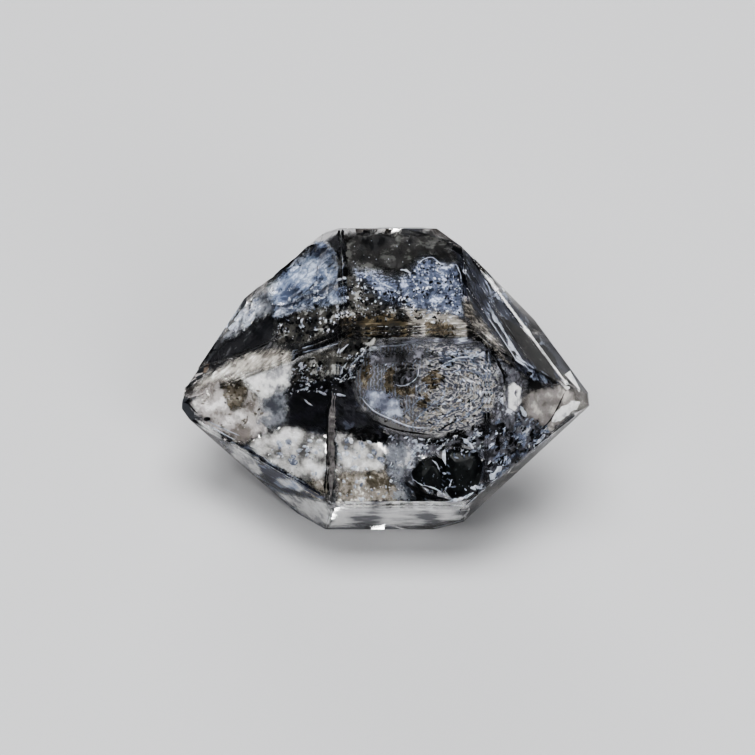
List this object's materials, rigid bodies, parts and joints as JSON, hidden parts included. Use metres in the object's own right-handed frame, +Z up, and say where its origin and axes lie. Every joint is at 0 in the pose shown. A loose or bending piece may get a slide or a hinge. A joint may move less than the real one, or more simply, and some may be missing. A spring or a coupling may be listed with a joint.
{
  "type": "petroleum quartz crystal",
  "caption": "Clear doubly terminated quartz crystal, a short hexagonal prism with pointed ends lying on a prism face, with oil films and dark specks inside.",
  "frame": {"origin": "on the ground, under the middle of the crystal's box as it lies on its lower prism face", "axes": "+X along the crystal's long axis towards its right point, -Y towards the viewer, +Z up"},
  "size_m": [0.0242, 0.0177, 0.0131],
  "materials": {
    "quartz": "clear natural quartz, slightly smoky, polished-looking flat faces with one frosted broken spot",
    "healed_veil": "whitish blue healed cracks and fluid bubbles inside the crystal",
    "oil_film": "thin see-through brown petroleum films inside the crystal",
    "bitumen": "black glossy grains of solid bitumen inside the crystal"
  },
  "bodies": {
    "root": {"quartz_crystal": "quartz", "quartz_front": "quartz", "oil_window": "oil_film", "smoky_film": "oil_film", "dark_hollow": "bitumen", "healed_cloud": "healed_veil"}
  },
  "joints": []
}
